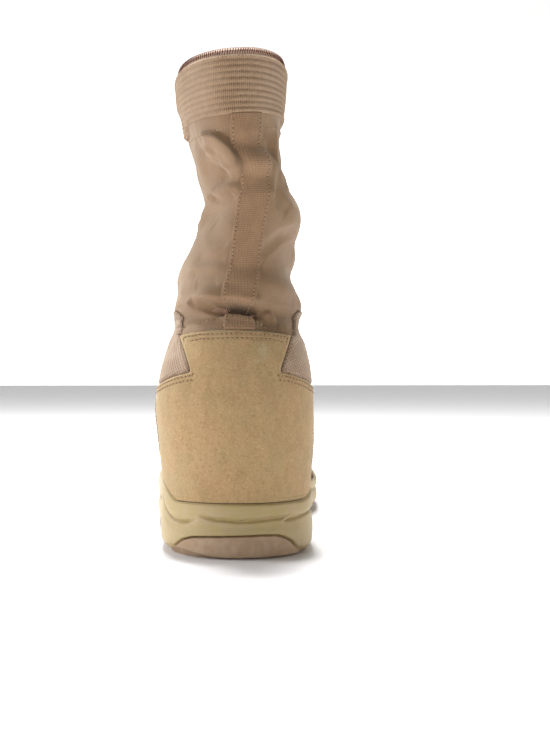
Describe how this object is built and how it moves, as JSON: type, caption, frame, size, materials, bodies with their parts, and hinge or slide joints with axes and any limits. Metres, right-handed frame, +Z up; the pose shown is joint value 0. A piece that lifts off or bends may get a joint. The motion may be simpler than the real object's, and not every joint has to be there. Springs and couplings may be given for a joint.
{
  "type": "combat boot",
  "caption": "Left eight inch combat boot with a slumped nylon shaft, ribbed elastic collar, suede heel counter and toe, webbing back strap, and a lugged sole.",
  "frame": {"origin": "middle of the boot's box, on the floor it stands on", "axes": "+Z up, +Y from heel to toe, +X towards the inner side of the foot"},
  "size_m": [0.1006, 0.2998, 0.2473],
  "materials": {
    "tread_rubber": "matt tan rubber",
    "midsole_foam": "satin olive tan moulded foam",
    "lining_cloth": "brown knitted lining",
    "shaft_nylon": "fine coyote brown nylon weave with a slight sheen",
    "suede": "sand tan rough suede",
    "ribbed_elastic": "tan elastic with level ribs",
    "webbing": "tan woven webbing",
    "ankle_mesh": "coarse ribbed tan nylon mesh",
    "lace_cord": "round braided tan cord"
  },
  "bodies": {
    "root": {"outsole": "tread_rubber", "midsole": "midsole_foam", "insole": "lining_cloth", "upper": "shaft_nylon", "tongue": "shaft_nylon", "heel_counter": "suede", "toe_cap": "suede", "collar_band": "ribbed_elastic", "back_strap": "webbing", "ankle_panel_medial": "ankle_mesh", "ankle_panel_lateral": "ankle_mesh", "eyestay_medial": "suede", "eyestay_lateral": "suede", "lace": "lace_cord"}
  },
  "joints": []
}
